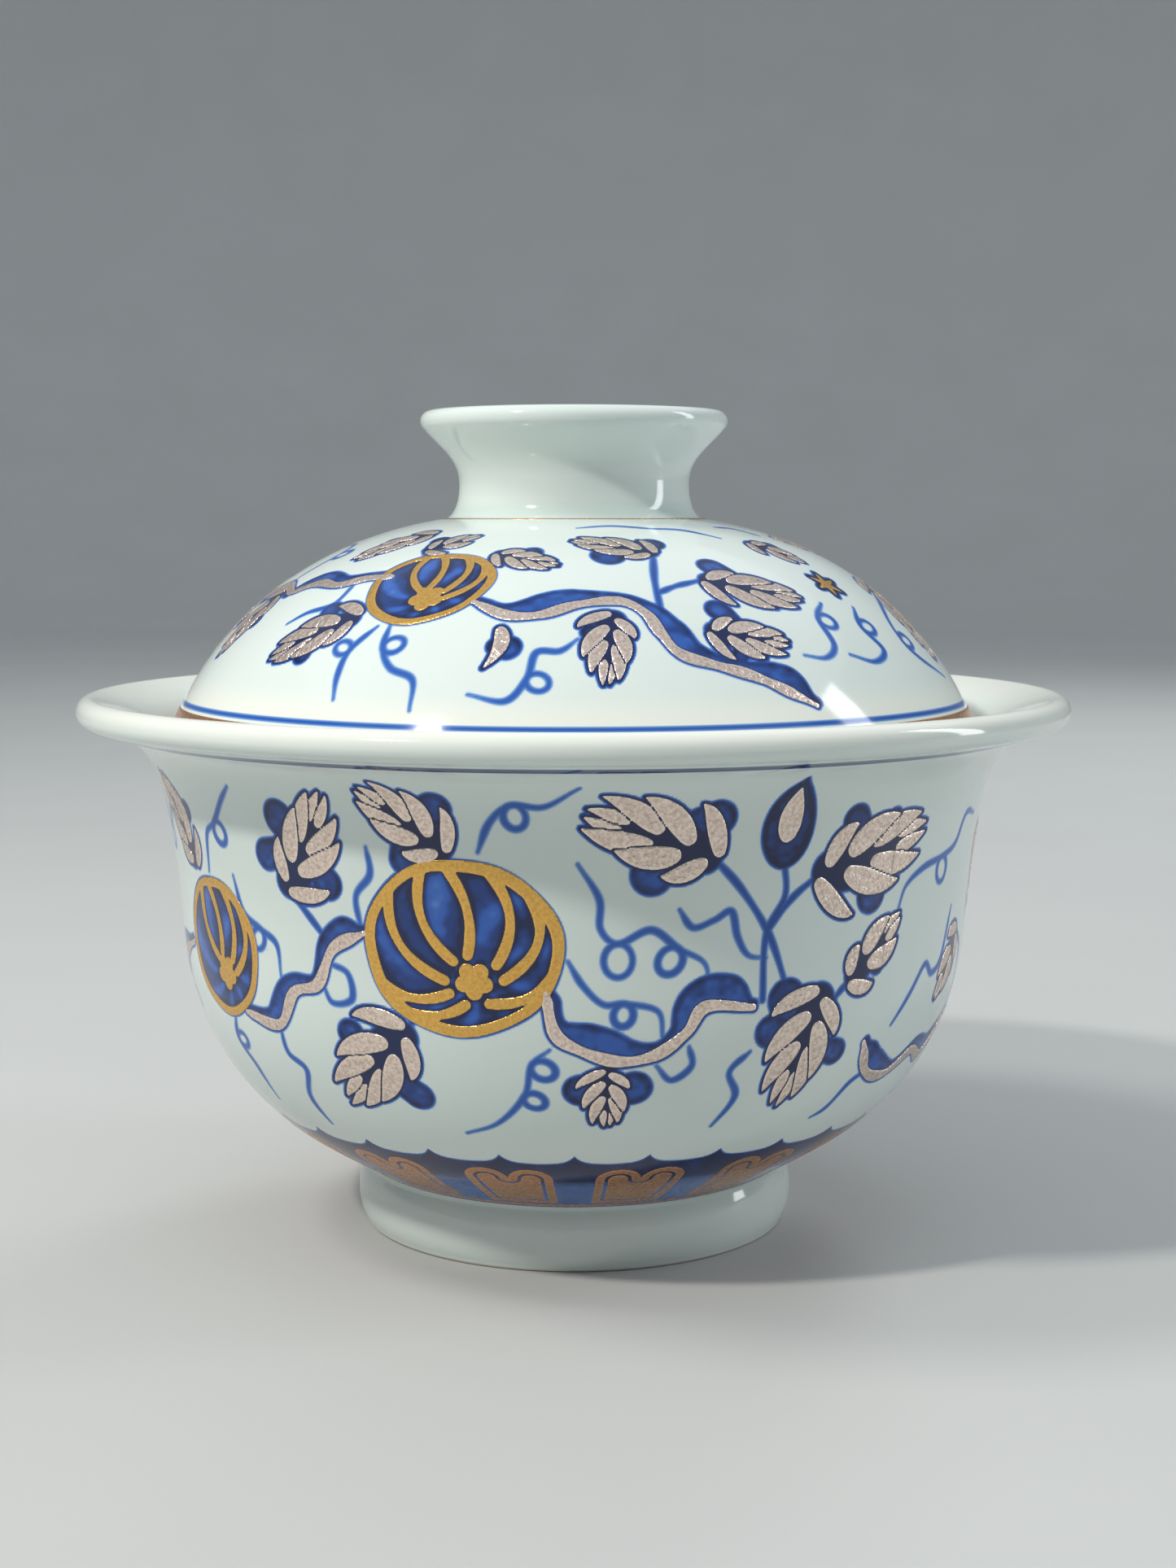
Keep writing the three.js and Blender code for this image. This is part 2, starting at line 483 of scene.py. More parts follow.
        angle = np.linspace(0, TURN, 400)
        unsteady = 0.937 + 0.01 * np.sin(3 * angle + 1) + 0.008 * np.sin(7 * angle)
        ring = place(unsteady * np.exp(1j * angle))
        painting.lay("gold", ring, fine * (0.57 + 0.07 * np.sin(2 * angle)), middle)
        for leave, arrive, bend in RIBS[:ribs]:
            start = 0.94 * np.exp(1j * math.radians(leave))
            end = BLOSSOM + 0.29 * np.exp(1j * math.radians(arrive))
            halfway = (start + end) / 2 + 1j * bend * (end - start)
            rib = bow(place(start), place(halfway), place(end))
            painting.lay("gold", rib, fine * (0.49 + 0.05 * np.sin(np.linspace(0, 9, len(rib)))), middle)
        heart = place(BLOSSOM)
        for k in range(5):
            out = np.exp(1j * math.radians(54 + 72 * k))
            painting.lay("gold", bow(heart, heart + 0.5 * out, heart + 1.05 * out), 0.78, middle)
        # The washes fill the ring, and darken against the gold.
        rows, columns = painting.window(*surface.unflat(ring, middle), 1.0)
        window = np.ix_(rows, columns % surface.columns)
        spot = (columns * surface.turn - middle) * surface.radius[rows][:, None]
        spot = (spot + 1j * surface.up[rows][:, None] - centre) / lean
        spot = spot.real / (width / 2) + 1j * spot.imag / (height / 2)
        inside = smooth((0.985 - abs(spot)) * width / 2 / 0.35)
        streak = 0.5 + 0.5 * np.sin(8 * np.angle(spot - BLOSSOM) + 5 * abs(spot - BLOSSOM))
        pool = np.exp(-np.clip(-painting.gold[window], 0, None) / 0.3)
        ink = 0.84 - 0.3 * streak**2 + 0.25 * (painting.mottle[window] - 0.5) + 0.45 * pool
        painting.shade(window, np.clip(ink, 0, 1) * inside)
        painting.blue(ring, 0.64 * fine, middle, strength=DARK, bleed=0.2)

    def star(self, azimuth, up, size=1.9):
        """A small gold star flower on a blue patch."""
        (centre,), middle = self.places((azimuth, up))
        for k in range(6):
            ray = size * np.exp(1j * math.radians(60 * k + 15))
            path = bow(centre, centre + ray / 2, centre + ray)
            self.painting.wash(path, np.linspace(1.2, 0.5, len(path)), middle, strength=0.9)
            self.painting.lay("gold", path, np.linspace(0.5, 0.08, len(path)), middle)


FULL_MELON = 17  # a narrower melon is drawn with finer lines
BLOSSOM = 0.13 - 0.36j  # in a melon of half size 1

# Where a melon's ribs leave its ring and come to its blossom, in degrees, and how far they bow to the left.
RIBS = (
    (112, 133, -0.32), (98, 101, 0.22), (73, 40, 0.34), (48, 3, 0.46),
    (-14, -60, 0.34), (138, 182, -0.38), (206, 212, -0.36), (234, 252, -0.26),
)


# ---------------------------------------------------------------- what is painted where


FRONT_AND_BACK = 0, 180
FOOT_LINE, LIP_LINE = 0.5, 55.8  # up the bowl's wall
LID_LINE = 3.8  # up the dome
LID_BAND = 1.7
NECK_LINE = 37.9


def paint_bowl(painting):
    for side in FRONT_AND_BACK:
        paint_bowl_side(Hand(painting, side))
    paint_petal_band(painting)
    up = painting.surface.up[:, None] + 0 * painting.ink
    painting.ink = np.maximum(painting.ink, DARK * smooth((0.85 - abs(up - LIP_LINE)) / 0.3))
    painting.copper = np.maximum(painting.copper, 0.3 - abs(up - FOOT_LINE))


def paint_bowl_side(hand):
    hand.melon(-14.4, 36.8, 19, 16.6)
    hand.melon(-57, 33.8, 14.4, 13.8, lean=4, ribs=4)
    # The branch, from the second melon to the first and on to the right.
    hand.vine((-51.5, 27.8), (-44, 27.4), (-40, 31), (-35.5, 32.2), (-32.5, 35.8), (-27.5, 37.6))
    hand.vine((-3.6, 32.8), (-2.6, 29.2), (0, 27.6), (5.5, 26.2), (10.5, 26.7), (14.5, 28.8), (17, 31.2),
              (23.5, 30.8), wash=1.5)
    hand.vine((44, 25.4), (47, 21.8), (53, 20.6), (60, 22.4), (66, 21), (74, 24.6), (82, 24), (90, 28.4),
              (98, 28), (106, 31.5), (112, 33), wash=1.2)
    # Leaves.
    hand.leaf((-62, 41.5), (-70.5, 50.8), spread=0.8, bulbs=((0.4 - 0.25j, 1.2),))
    hand.leaf((-39.5, 41), (-31, 51), spread=1.1,
              bulbs=((0.5 + 0.3j, 1.9), (0.12 + 0.3j, 1.6), (0.3 - 0.32j, 1.6)))
    hand.leaf((-15.8, 45.5), (-26.5, 52), spread=1.05, bulbs=((0.3 - 0.3j, 1.7), (0.25 + 0.28j, 1.5)))
    hand.leaf((-22.4, 28.6), (-35, 19.6), spread=1.15, plump=1.0,
              bulbs=((0.38 - 0.3j, 1.5), (0.6 - 0.2j, 1.0), (0.4 + 0.38j, 1.6)))
    hand.leaf((4.3, 25.2), (4.6, 18.6), spread=1.3, plump=1.0,
              bulbs=((0.3 - 0.36j, 1.7), (0.3 + 0.36j, 1.8), (0.8 - 0.1j, 0.8)))
    hand.leaf((17.2, 45), (0.3, 50),
              bulbs=((0.1 - 0.27j, 1.8), (0.36 + 0.24j, 2.0), (0.42 - 0.2j, 1.0), (0.68 - 0.14j, 0.9)))
    hand.bud((26.3, 44.4), (27.4, 53))
    hand.leaf((32, 42.8), (52.5, 46.4), bulbs=((0.3 + 0.26j, 1.6), (0.62 + 0.16j, 1.2), (0.4 - 0.26j, 1.9)))
    hand.leaf((38.6, 32.2), (48.6, 38), pairs=3, spread=0.85, bulbs=((0.4 - 0.16j, 1.1),))
    hand.leaf((34, 31.6), (29.6, 19.4), spread=1.15, plump=1.0,
              bulbs=((0.1 - 0.3j, 2.0), (0.36 - 0.34j, 1.7), (0.45 + 0.34j, 1.4)))
    hand.leaf((85, 35), (76, 45), spread=1.1, bulbs=((0.3 + 0.3j, 1.6), (0.35 - 0.3j, 1.4)))
    hand.leaf((90.5, 26.5), (86, 16), spread=1.15, bulbs=((0.3 - 0.32j, 1.7), (0.4 + 0.3j, 1.7)))
    hand.leaf((69, 34), (62, 27.5), pairs=3, spread=0.9, bulbs=((0.4 + 0.2j, 1.1),))
    # Stems.
    hand.stem((17.2, 45), (21, 42), (25.2, 37.6), (28.3, 32.4))
    hand.stem((26.4, 45), (27.2, 41.2), (24.8, 37.5), (24.8, 31.4))
    hand.stem((32, 42.8), (28.2, 40.8), (25, 38))
    hand.stem((38.6, 32.2), (36.8, 31), (35.4, 30))
    hand.stem((-39.5, 41), (-36.5, 39), (-32.6, 36))
    hand.stem((-21.5, 29.4), (-20.3, 30.4))
    hand.stem((85, 35), (88, 32), (89, 28))
    hand.stem((69, 34), (73, 31.5), (75, 25))
    # Tendrils.
    hand.line((0.4, 44.8), (3, 41.6), (3.2, 38.8), (5.4, 37.4, -1.3), (9.5, 38.6), (13, 36.8, -1.1),
              (16.6, 35.2), (17.2, 32))
    hand.line((-11.6, 45.8), (-10, 48.6), (-7.4, 50.4, -1.0), (-3.4, 50.3), (0.6, 52.4))
    hand.line((-3.2, 27.4), (-5.6, 25.8, 0.95), (-6.8, 22.4, 0.85), (-11, 19), (-16, 17.4))
    hand.line((13, 40.4), (14.8, 38.7), (17.6, 39.3), (19.8, 40), (20.8, 37.6), (22.4, 35.8), (25, 35.4))
    hand.line((23.8, 26.4), (21.2, 24.4), (22.8, 21.6), (20.4, 18))
    hand.line((-0.8, 35.8), (1, 33.6), (3.6, 31.8), (6.4, 31.8, -0.9), (10.6, 31), (11.4, 28.4))
    hand.line((-26.2, 45.8), (-26, 43.2), (-28.3, 41), (-27.8, 37.8))
    hand.line((-50.8, 41.4), (-49.2, 38), (-45.6, 36.6, -0.9), (-42.6, 35.4), (-42.2, 32.4))
    hand.line((-44, 27.2), (-43.8, 24.4), (-41, 22.8), (-42.8, 19.4), (-41.8, 15.8))
    hand.line((-55.4, 27), (-56.8, 24.2, 0.8), (-54.4, 21.4), (-53.6, 17.4))
    hand.line((-47.5, 50.6), (-50.4, 48.8), (-53.6, 46.4, 1.0), (-56.4, 45), (-57.6, 41.2))
    hand.line((15, 27.4), (15.6, 25.4), (13, 24), (10.8, 25.6))
    hand.line((-33.4, 34.4), (-30.4, 33.6), (-30, 31.2), (-33.2, 30.6), (-34.6, 32.4))
    hand.line((69.6, 46), (65, 46.4), (62.4, 43.6), (58, 42.6, 1.1), (53, 42), (49, 40.6), (47.6, 38.4))
    hand.line((64.4, 37), (62, 32), (59, 30.8), (56.4, 32), (53, 29.4), (49.6, 26.6))
    hand.line((47.4, 22), (44, 20.8), (41.4, 18), (39, 17))
    hand.line((99, 30), (97, 34.6), (99, 38.4, 1.0), (96.6, 42), (98, 46.4))
    hand.line((74, 25), (77.4, 29), (79, 34, -1.0), (76, 37), (78, 40))
    hand.line((106, 30.6), (103.4, 26.6, 1.0), (104, 22), (100.6, 18.4), (101.4, 14.8))
    hand.line((71, 22.4), (72.6, 18.4), (69.4, 16), (66, 15.8))
    hand.line((113, 44), (109, 46.6), (106.4, 44.6, 1.0), (102.4, 46.6), (99.6, 50))


PETALS = 15
PETAL_HALF = math.radians(8.2)
PETAL_FOOT = 1.2
PETAL_TOP = 9.2  # where the two round heads of a petal stand on its sides
PETAL_INNER_LINE = 1.05  # in from a petal's edge
BAND_TOP = 12.7
BAND_POINTS = 1.5  # how much higher its ogee points reach


def paint_petal_band(painting):
    """The ring of petals above the foot: an ogee-edged blue band over double-headed copper petals."""
    surface = painting.surface
    up = surface.up[:, None]
    azimuth = np.arange(surface.columns) * surface.turn
    share = (azimuth * PETALS / TURN) % 1 - 0.5
    point = abs((share * 2 + 0.5) % 1 - 0.5) * 2
    band = smooth((BAND_TOP + BAND_POINTS * np.exp(-point / 0.22) - up + 0.2) / 0.4)
    tone = DARK - 0.3 * smooth((9.5 - up) / 3) + 0.16 * (painting.mottle - 0.5)
    painting.shade((slice(None), slice(None)), band * np.clip(tone, 0, 1))
    # A petal has straight sides and two heads, and a dark line inside its border.
    angle = abs(share) * TURN / PETALS
    across = angle * surface.radius[:, None]
    side = (PETAL_HALF - angle) * surface.radius[:, None]
    head = PETAL_HALF / 2 * surface.radius[:, None]
    heads = head - np.hypot(across - head, up - PETAL_TOP)
    sides = np.minimum(np.minimum(side, up - PETAL_FOOT), np.hypot(across, up - PETAL_TOP))
    petal = np.where(up < PETAL_TOP, sides, heads)
    painting.copper = np.maximum(painting.copper, np.minimum(petal, abs(petal - PETAL_INNER_LINE) - 0.15))


def paint_lid(painting):
    for side in FRONT_AND_BACK:
        paint_lid_side(Hand(painting, side))
    up = painting.surface.up[:, None] + 0 * painting.ink
    painting.ink = np.maximum(painting.ink, 0.7 * smooth((0.36 - abs(up - LID_LINE)) / 0.3))
    copper = np.maximum(1.5 - abs(up - LID_BAND), 0.32 - abs(up - NECK_LINE))
    painting.copper = np.maximum(painting.copper, copper)


def paint_lid_side(hand):
    hand.melon(-27.7, 20.6, 13, 11.2, ribs=4)
    hand.vine((-17.3, 18.2), (-11, 16.4), (-5.5, 16.4), (0.5, 17.8), (7.5, 18.3), (11.5, 16.6), (13.2, 14),
              (15.4, 11.6), (20.4, 10.2), (26, 8.8), (34, 5.6), wash=1.3)
    hand.vine((-37.4, 21.8), (-43.5, 21.4), (-50, 20.2), (-57, 20.4), (-64, 18.6), wash=0.8, side=-1)
    hand.leaf((-43, 31.4), (-57, 24.6), spread=0.8, bulbs=((0.5 - 0.2j, 1.0),))
    hand.leaf((-36, 27), (-26, 31), pairs=3, spread=1.2, bulbs=((0.3 + 0.3j, 1.0),))
    hand.leaf((-17.4, 26.4), (-2.8, 24), spread=0.9, plump=0.9, bulbs=((0.45 + 0.2j, 1.1),))
    hand.leaf((-37.4, 15.8), (-52, 10), spread=0.85, plump=0.9,
              bulbs=((0.3 - 0.26j, 1.3), (0.55 + 0.2j, 1.1)))
    hand.leaf((-69, 18.6), (-72.4, 9.4), bulbs=((0.4 + 0.24j, 1.1),))
    hand.leaf((18, 26.4), (-1.4, 29.6), spread=0.9, plump=0.9,
              bulbs=((0.08 - 0.24j, 1.3), (0.48 + 0.26j, 1.7)))
    hand.leaf((6.2, 16.4), (4.2, 8), spread=1.1, plump=0.95, bulbs=((0.3 - 0.22j, 1.0),))
    hand.leaf((24.6, 21.4), (44, 18), spread=0.9, plump=0.9, bulbs=((0.14 + 0.26j, 1.5), (0.6 - 0.18j, 0.9)))
    hand.leaf((21.2, 14.2), (34.4, 12.4), spread=1.1, plump=0.95,
              bulbs=((0.16 + 0.36j, 1.4), (0.3 - 0.3j, 0.9)))
    hand.leaf((50, 28.6), (59.6, 24), pairs=3, spread=1.1, bulbs=((0.4 + 0.25j, 1.0),))
    hand.bulbs((-11.2, 14.4), (-12.8, 10), ((0.4 + 0.3j, 1.4),))
    hand.lobes((-11.2, 14.4), (-12.8, 10), ((0, 0.4 + 0.3j, 1.0, 0.15),))
    hand.star(55.5, 20.2)
    hand.leaf((80, 20), (74, 8.6), bulbs=((0.4 + 0.3j, 1.4),))
    hand.leaf((86, 26.6), (70, 30), pairs=3, bulbs=((0.4 - 0.26j, 1.1),))
    hand.vine((116, 18.6), (108, 19.8), (99, 18), (91, 20.2), (83, 20), wash=0.9)
    hand.leaf((99, 17.6), (94, 9), spread=1.1, bulbs=((0.3 + 0.3j, 1.3), (0.4 - 0.3j, 1.0)))
    hand.stem((17.4, 26), (15, 21.4), (14.2, 17.4))
    hand.stem((14.8, 19.4), (18.4, 20.4), (24.6, 21.4))
    hand.stem((-35, 26), (-36, 27.2))
    hand.line((-30, 15), (-29.2, 12, 0.9), (-26.6, 9.8), (-22.6, 8.6), (-21.8, 5.4))
    hand.line((-32.2, 14.6), (-35, 11.6, -0.8), (-35, 8.8), (-34, 6.2))
    hand.line((0.6, 13.4), (-2, 12), (-5.4, 11.8), (-6.4, 9, 0.9), (-9, 6.6), (-14.2, 7.2))
    hand.line((47.4, 17.4), (43.4, 15.4, 0.9), (42.8, 12), (39.6, 10.6), (35.6, 11))
    hand.line((56, 16.6), (53, 14, 0.9), (54.4, 11), (50, 9.8), (45, 10.8))
    hand.line((76, 18.6), (66, 15), (63.4, 11.8, 0.9), (66, 9.4), (72.6, 7))
    hand.line((1, 33.4), (12, 34.2), (24, 33.2), (34, 32.6), (42.4, 30))
    hand.line((-45, 20.6), (-45.4, 17.4), (-50.4, 16), (-53.6, 14.4))
    hand.line((-88, 17), (-84, 13.6, 0.9), (-86, 10), (-82, 7.6))
    hand.line((64, 30.6), (60, 33), (52, 33.6))
    hand.line((108, 20), (110, 25.4, -0.9), (104, 28), (96, 27))


# ---------------------------------------------------------------- from the grid to thin shells


def outlined(field, level, columns):
    """The part of a grid above a level, with its outline cut through the cells. Gives the row and column
    of each vertex, and faces of vertex numbers that turn left as seen from outside."""
    rows, total = field.shape
    row, column = (grid.ravel() for grid in np.meshgrid(np.arange(rows - 1), columns, indexing="ij"))
    right = (column + 1) % total
    corners = [(row, column), (row, right), (row + 1, right), (row + 1, column)]
    above = [field[corner] >= level for corner in corners]
    case = sum(flag.astype(int) << i for i, flag in enumerate(above))
    size = rows * total
    corner_key = [r * total + c for r, c in corners]
    side_key = [
        size + row * total + column,
        2 * size + row * total + right,
        size + (row + 1) * total + column,
        2 * size + row * total + column,
    ]
    faces = []
    for pattern in range(1, 16):
        chosen = case == pattern
        loop = []
        for i in range(4):
            here, following = pattern >> i & 1, pattern >> (i + 1) % 4 & 1
            if here:
                loop.append(corner_key[i][chosen])
            if here != following:
                loop.append(side_key[i][chosen])
        faces.append(np.column_stack(loop))
    keys = np.unique(np.concatenate([face.ravel() for face in faces]))
    faces = [np.searchsorted(keys, face) for face in faces if len(face)]
    kind, place = np.divmod(keys, size)
    place_row, place_column = np.divmod(place, total)
    other = field[np.minimum(place_row + (kind == 2), rows - 1), (place_column + (kind == 1)) % total]
    mine = field[place_row, place_column]
    gap = np.where(kind == 0, 1, other - mine)
    share = np.where(kind == 0, 0, (level - mine) / np.where(gap == 0, 1, gap))
    return place_row + share * (kind == 2), place_column + share * (kind == 1), faces


def read(field, row, column):
    """Values of a grid at places between its points."""
    low_row, low_column = np.floor(row).astype(int), np.floor(column).astype(int)
    row_share, column_share = row - low_row, column - low_column
    high_row = np.minimum(low_row + 1, field.shape[0] - 1)
    low_column, high_column = low_column % field.shape[1], (low_column + 1) % field.shape[1]
    low = field[low_row, low_column] * (1 - column_share) + field[low_row, high_column] * column_share
    high = field[high_row, low_column] * (1 - column_share) + field[high_row, high_column] * column_share
    return low * (1 - row_share) + high * row_share


SHELL_BACK = -0.06  # how high a shell's back lies: just inside the porcelain
ENAMEL_EDGE = 0.014  # how high an enamel stands at its very edge
RIDGE = 0.22  # how far inside its edge an enamel is thickest
SHELL_LEVEL = 0.012  # the ink or depth at which a shell ends: not 0, which can hold along a whole row
RIM = 0.5  # the depth at which a metal's tone reaches 1


def shell(name, painting, field, columns, lift, tone, flush=False):
    """A closed thin shell over the part of a grid above SHELL_LEVEL, `lift` high, with `tone` for its
    material to read. A flush one is shaded as the surface under it."""
    row, column, faces = outlined(field, SHELL_LEVEL, columns)
    surface = painting.surface
    azimuth = column * surface.turn
    top, out = surface.point(row, azimuth, read(lift, row, column))
    back, _ = surface.point(row, azimuth, np.full(len(row), SHELL_BACK))
    count = len(row)
    starts = np.concatenate([face.ravel() for face in faces])
    ends = np.concatenate([np.roll(face, -1, axis=1).ravel() for face in faces])
    free = ~np.isin(starts * count + ends, ends * count + starts)
    walls = np.column_stack([ends, starts, starts + count, ends + count])[free]
    loops = [loop for face in faces for loop in face.tolist()]
    loops += [loop for face in faces for loop in (face[:, ::-1] + count).tolist()]
    made = solid(name, np.vstack([top, back]), loops + walls.tolist())
    values = np.tile(np.clip(read(tone, row, column), 0, 1), 2).astype(np.float32)
    made.data.attributes.new("tone", "FLOAT", "POINT").data.foreach_set("value", values)
    if flush:
        made.data.normals_split_custom_set_from_vertices(np.vstack([out, -out]).tolist())
    return made


def raised(depth, height, crinkle, roughness):
    """How high an enamel stands: crinkled, and thickest in a ridge just inside its edge."""
    body = smooth(depth / RIDGE)
    dip = 0.35 * smooth((depth - RIDGE) / 0.3)
    return ENAMEL_EDGE + height * (body - dip) + roughness * (crinkle - 0.5) * body


def shells(piece, painting, sectors):
    """All the painted shells of one piece, each layer cut into sectors."""
    surface = painting.surface
    crinkle = 0.6 * surface.noise(0.55) + 0.4 * surface.noise(0.38)
    lifts = {
        "cobalt": np.clip((painting.ink - 0.03) * 0.25, -0.004, 0.018),
        "gold": raised(painting.gold, 0.045, crinkle, 0.012),
        "silver": raised(painting.silver, 0.065, crinkle, 0.055),
        "copper": raised(painting.copper, 0.03, crinkle, 0.01),
    }
    for layer, count in sectors.items():
        blue = layer == "cobalt"
        field = painting.ink if blue else getattr(painting, layer)
        tone = field if blue else field / RIM
        edges = np.linspace(0, surface.columns, count + 1).round().astype(int)
        # The first sector is centred on the front.
        shift = edges[1] // 2
        for number, (first, last) in enumerate(zip(edges, edges[1:]), 1):
            columns = (np.arange(first, last) - shift) % surface.columns
            name = f"{piece}_{layer}_{number}"
            made = shell(name, painting, field, columns, lifts[layer], tone, flush=blue)
            made.data.materials.append(MATERIALS[layer])
            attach(made, piece)


# ---------------------------------------------------------------- materials


class Nodes:
    """A node material under construction."""

    def __init__(self, name):
        self.material = bpy.data.materials.new(name)
        self.material.use_nodes = True
        self.tree = self.material.node_tree
        self.shader = self.tree.nodes["Principled BSDF"]
        self.place = self.tree.nodes.new("ShaderNodeTexCoord").outputs["Object"]

    def add(self, kind, inputs=None, **settings):
        """A node with these settings and inputs; an input is a value or another node's output."""
        node = self.tree.nodes.new("ShaderNode" + kind)
        for name, value in settings.items():
            setattr(node, name, value)
        for name, value in (inputs or {}).items():
            self.put(node.inputs[name], value)
        return node

    def put(self, socket, value):
        if isinstance(value, bpy.types.NodeSocket):
            self.tree.links.new(value, socket)
        else:
            socket.default_value = value

    def noise(self, size, detail=2.0):
        """Noise from 0 to 1 with lumps of about `size` millimetres."""
        node = self.add("TexNoise", {"Vector": self.place, "Scale": 1 / (size * MM), "Detail": detail})
        return node.outputs["Fac"]

    def spread(self, value, start, end, low=0.0, high=1.0):
        """A value that runs from low to high while another runs from start to end."""
        limits = {"From Min": start, "From Max": end, "To Min": low, "To Max": high}
        return self.add("MapRange", {"Value": value, **limits}).outputs["Result"]

    def near(self, height, middle, reach, most):
        """A value that falls from `most` at a height to 0 at `reach` millimetres above and below it."""
        away = self.add("Math", {0: height, 1: middle * MM}, operation="SUBTRACT").outputs["Value"]
        away = self.add("Math", {0: away}, operation="ABSOLUTE").outputs["Value"]
        node = self.add("MapRange", {"Value": away, "From Max": reach * MM, "To Min": most, "To Max": 0.0})
        node.interpolation_type = "SMOOTHSTEP"
        return node.outputs["Result"]

    def mix(self, share, first, second):
        node = self.add("Mix", data_type="RGBA")
        self.put(node.inputs["Factor"], share)
        self.put(node.inputs["A"], first if isinstance(first, bpy.types.NodeSocket) else (*first, 1))
        self.put(node.inputs["B"], second if isinstance(second, bpy.types.NodeSocket) else (*second, 1))
        return node.outputs["Result"]

    def ramp(self, value, stops):
        """A colour that changes with a value, from stops of (value, colour)."""
        node = self.add("ValToRGB", {"Fac": value})
        ramp = node.color_ramp
        ramp.interpolation = "EASE"
        while len(ramp.elements) < len(stops):
            ramp.elements.new(1.0)
        for element, (position, colour) in zip(ramp.elements, stops):
            element.position = position
            element.color = (*colour, 1)
        return node.outputs["Color"]

    def bump(self, heights):
        """Bumps added up from pairs of (0 to 1 value, depth in millimetres)."""
        normal = None
        for height, depth in heights:
            node = self.add("Bump", {"Height": height, "Strength": 1.0, "Distance": depth * MM})
            if normal:
                self.put(node.inputs["Normal"], normal)
            normal = node.outputs["Normal"]
        self.put(self.shader.inputs["Normal"], normal)

    def finish(self, **values):
        for name, value in values.items():
            self.put(self.shader.inputs[name.replace("_", " ")], value)
        return self.material


GLAZE_LIGHT = (0.7, 0.775, 0.745)
GLAZE_DARK = (0.65, 0.735, 0.705)
GLAZE_POOLED = (0.56, 0.68, 0.64)
LIP_WHITE = (0.78, 0.8, 0.74)
BARE_CLAY = (0.7, 0.66, 0.6)
BARE_CLAY_LIGHT = (0.78, 0.75, 0.7)
IRON = (0.16, 0.13, 0.1)
COBALT_BY_INK = (
    (0.0, (0.42, 0.58, 0.72)), (0.3, (0.12, 0.27, 0.6)), (0.6, (0.022, 0.1, 0.42)),
    (0.85, (0.006, 0.034, 0.18)), (1.0, (0.004, 0.011, 0.06)),
)


def glaze(nodes):
    """The colour, roughness and bump of the clear glaze over porcelain, shared by all that lies under it."""
    height = nodes.add("SeparateXYZ", {"Vector": nodes.place}).outputs["Z"]
    colour = nodes.mix(nodes.noise(14), GLAZE_DARK, GLAZE_LIGHT)
    # Glaze pools green in the two hollows, and runs thin over the lip.
    for middle, reach in ((FOOT_JOINT[1] - 0.4, 1.8), (KNOB_BASE[1] + 0.6, 1.5)):
        colour = nodes.mix(nodes.near(height, middle, reach, 0.75), colour, GLAZE_POOLED)
    colour = nodes.mix(nodes.near(height, BOWL_HIGH.z, 3.0, 0.9), colour, LIP_WHITE)
    # A few specks of iron in the clay.
    speck = nodes.add("TexVoronoi", {"Vector": nodes.place, "Scale": 1 / (7 * MM)})
    size = nodes.spread(nodes.noise(11), 0.5, 0.7, high=0.028)
    inside = nodes.add("Math", {0: speck.outputs["Distance"], 1: size}, operation="LESS_THAN")
    share = nodes.add("Math", {0: inside.outputs["Value"], 1: 0.55}, operation="MULTIPLY").outputs["Value"]
    colour = nodes.mix(share, colour, IRON)
    roughness = nodes.spread(nodes.noise(5), 0, 1, 0.05, 0.11)
    nodes.bump([(nodes.noise(9, 1.0), 0.05), (nodes.noise(1.1, 1.0), 0.0018)])
    return colour, roughness


def porcelain():
    nodes = Nodes("porcelain")
    colour, roughness = glaze(nodes)
    height = nodes.add("SeparateXYZ", {"Vector": nodes.place}).outputs["Z"]
    bare = nodes.near(height, 0, 0.5, 1.6)
    grain = nodes.mix(nodes.noise(0.5, 4.0), BARE_CLAY, BARE_CLAY_LIGHT)
    share = nodes.add("Mix", {"Factor": bare})
    nodes.put(share.inputs["A"], roughness)
    nodes.put(share.inputs["B"], 0.65)
    return nodes.finish(Base_Color=nodes.mix(bare, colour, grain), Roughness=share.outputs["Result"])


def cobalt():
    """Underglaze blue: the ink's strength turns the porcelain's colour to pale, full and dark cobalt."""
    nodes = Nodes("cobalt")
    colour, roughness = glaze(nodes)
    ink = nodes.add("Attribute", attribute_name="tone").outputs["Fac"]
    cover = nodes.spread(ink, 0, 0.3)
    blue = nodes.mix(cover, colour, nodes.ramp(ink, COBALT_BY_INK))
    return nodes.finish(Base_Color=blue, Roughness=roughness)


def enamel(name, light, dark, metallic, roughness, grain, depth):
    """A metal enamel brushed on over the glaze: granular, uneven in shine, and brightest at its rim, where a
    painted highlight lightens its colour.
    """
    nodes = Nodes(name)
    inward = nodes.add("Attribute", attribute_name="tone").outputs["Fac"]
    speckle = nodes.spread(nodes.noise(grain, 3.0), 0.28, 0.68)
    colour = nodes.mix(speckle, dark, light)
    # Painted highlight: near the rim the colour turns to the light tone, as if the raised ridge caught the
    # light.
    colour = nodes.mix(nodes.spread(inward, 0.1, 0.6, 0.8, 0.0), colour, light)
    shine = nodes.spread(nodes.noise(0.8, 3.0), 0, 1, *roughness)
    nodes.bump([(nodes.noise(grain, 3.0), depth), (nodes.noise(grain * 2.7, 2.0), depth * 1.5)])
    return nodes.finish(Base_Color=colour, Metallic=metallic, Roughness=shine)


MATERIALS = {
    "porcelain": porcelain(),
    "cobalt": cobalt(),
    "gold": enamel("gold", (0.8, 0.47, 0.12), (0.6, 0.33, 0.07), 0.7, (0.2, 0.36), 0.3, 0.05),
    "silver": enamel("silver", (0.88, 0.74, 0.65), (0.54, 0.42, 0.35), 0.72, (0.16, 0.34), 0.34, 0.1),
    "copper": enamel("copper", (0.68, 0.33, 0.16), (0.42, 0.18, 0.08), 0.75, (0.2, 0.34), 0.35, 0.04),
}


# ---------------------------------------------------------------- the object

